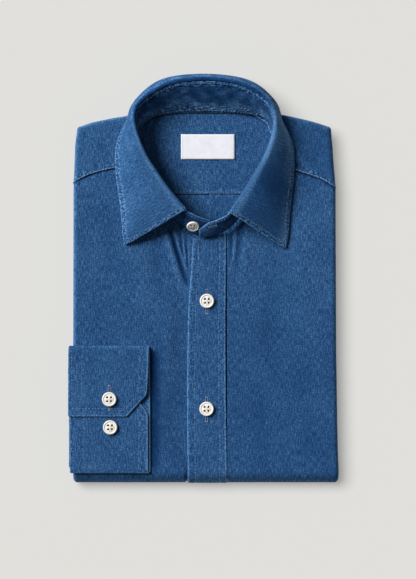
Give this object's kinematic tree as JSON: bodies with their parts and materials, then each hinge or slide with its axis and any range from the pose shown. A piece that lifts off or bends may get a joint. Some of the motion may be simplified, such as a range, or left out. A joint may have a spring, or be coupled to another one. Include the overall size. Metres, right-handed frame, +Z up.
{
  "type": "folded denim shirt",
  "caption": "Long-sleeved denim shirt folded flat for a shelf, with an open pointed collar standing up, a buttoned front and one cuff laid on top.",
  "frame": {"origin": "under the middle of the whole shirt, on the surface that it lies on", "axes": "+Z up from the surface; +Y from the bottom fold towards the collar; +X to the right of the front as it is seen from above"},
  "size_m": [0.2436, 0.3686, 0.0443],
  "materials": {
    "body_denim": "mid blue washed denim with fine vertical slubs, paler at its edges and seams",
    "yoke_denim": "mid blue washed denim",
    "inside_denim": "mid blue denim, inside of the back",
    "collar_denim": "two-ply interlined denim with worn paler edges",
    "label_cloth": "smooth woven white satin, bare",
    "button_shell": "off-white four-hole button with a soft sheen"
  },
  "bodies": {
    "root": {"folded_layers": "body_denim", "front_left": "body_denim", "front_right": "body_denim", "placket": "body_denim", "yoke": "yoke_denim", "yoke_inner": "inside_denim", "back": "inside_denim", "collar_stand": "collar_denim", "collar_leaf": "collar_denim", "label": "label_cloth", "sleeve": "body_denim", "cuff": "body_denim", "collar_button": "button_shell", "front_button_upper": "button_shell", "front_button_lower": "button_shell", "cuff_button_upper": "button_shell", "cuff_button_lower": "button_shell"}
  },
  "joints": []
}
